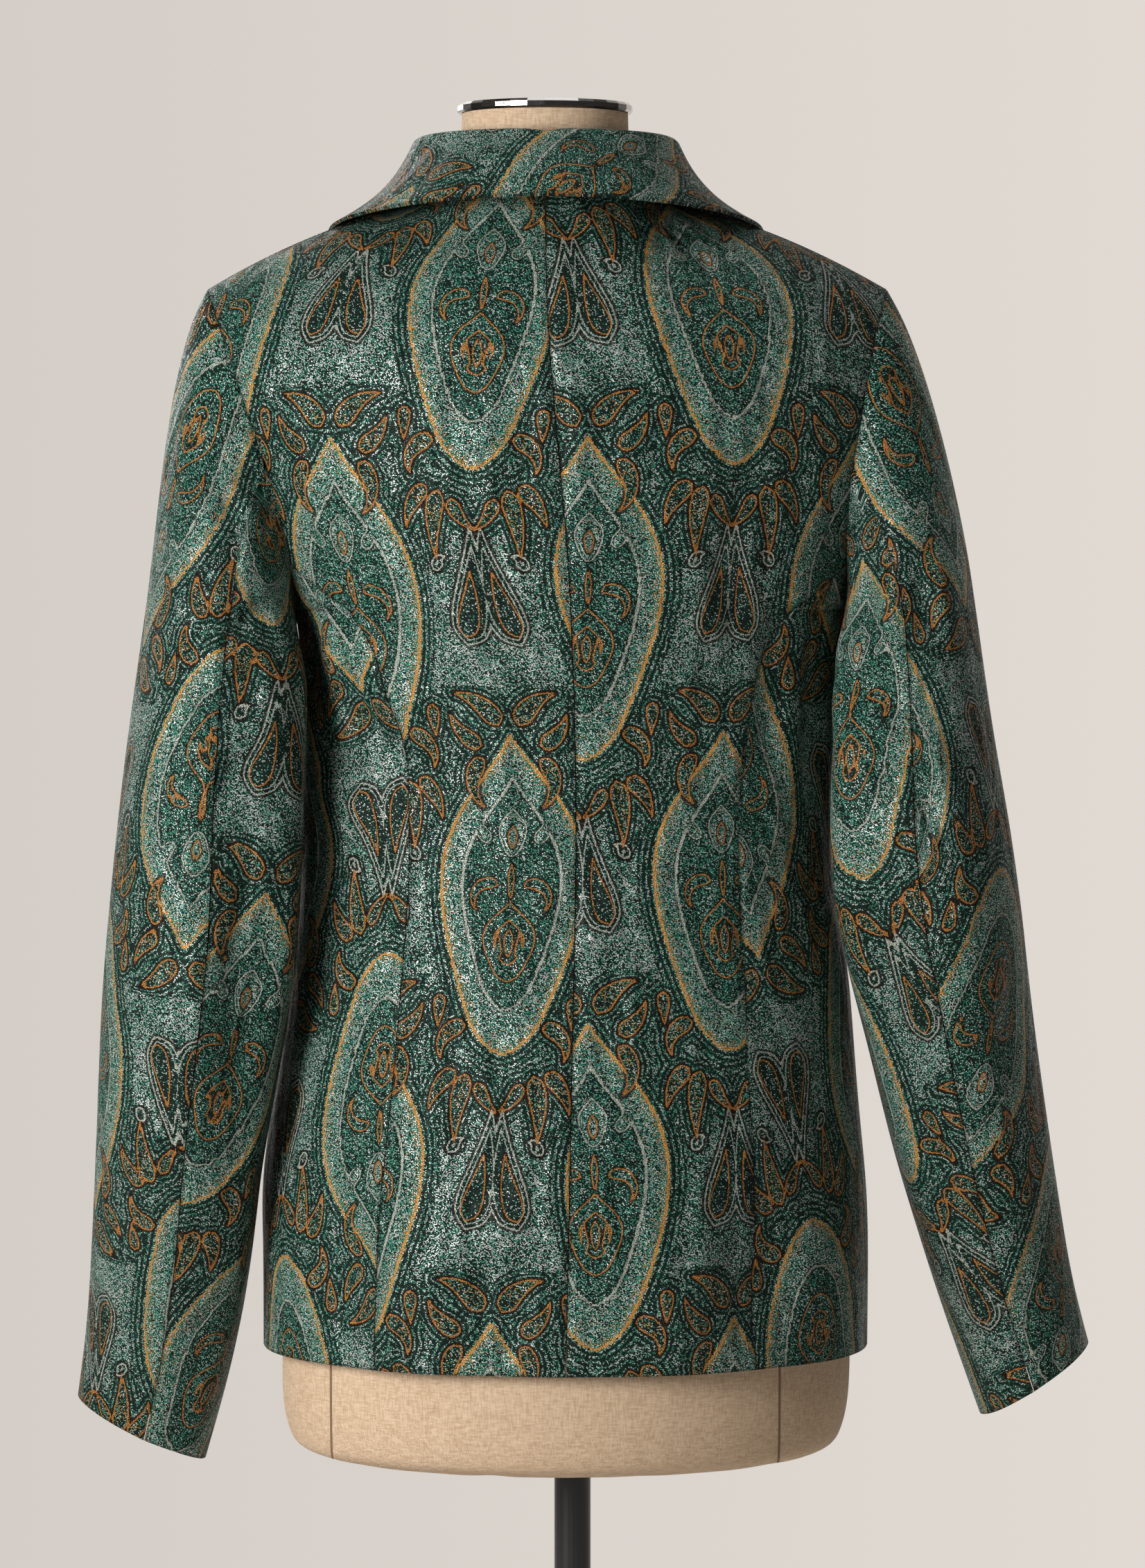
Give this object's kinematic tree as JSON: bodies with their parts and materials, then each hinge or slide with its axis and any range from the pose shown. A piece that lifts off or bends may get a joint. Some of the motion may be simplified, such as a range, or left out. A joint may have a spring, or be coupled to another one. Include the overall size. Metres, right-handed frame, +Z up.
{
  "type": "blazer on a dress form and stand",
  "caption": "Tailored woven paisley blazer with turned-down collar and lapels, buttoned on a limbless linen dress form with a pole and round foot.",
  "frame": {"origin": "middle of the foot's underside, on the floor under the pole", "axes": "+Z up along the pole, the blazer's front faces -Y and the wearer's left is +X"},
  "size_m": [0.5909, 0.35, 1.503],
  "materials": {
    "jacquard": "matte",
    "linen": "matte",
    "chrome": "polished",
    "black_steel": "satin",
    "button": "satin"
  },
  "bodies": {
    "root": {"back_left": "jacquard", "back_right": "jacquard", "side_back_left": "jacquard", "side_back_right": "jacquard", "front_left": "jacquard", "front_right": "jacquard", "lapel_left": "jacquard", "lapel_right": "jacquard", "collar": "jacquard", "upper_sleeve_left": "jacquard", "upper_sleeve_right": "jacquard", "under_sleeve_left": "jacquard", "under_sleeve_right": "jacquard", "button_upper": "button", "button_lower": "button", "form_body": "linen", "neck_ring": "chrome", "stand_pole": "black_steel", "stand_foot": "black_steel"}
  },
  "joints": []
}
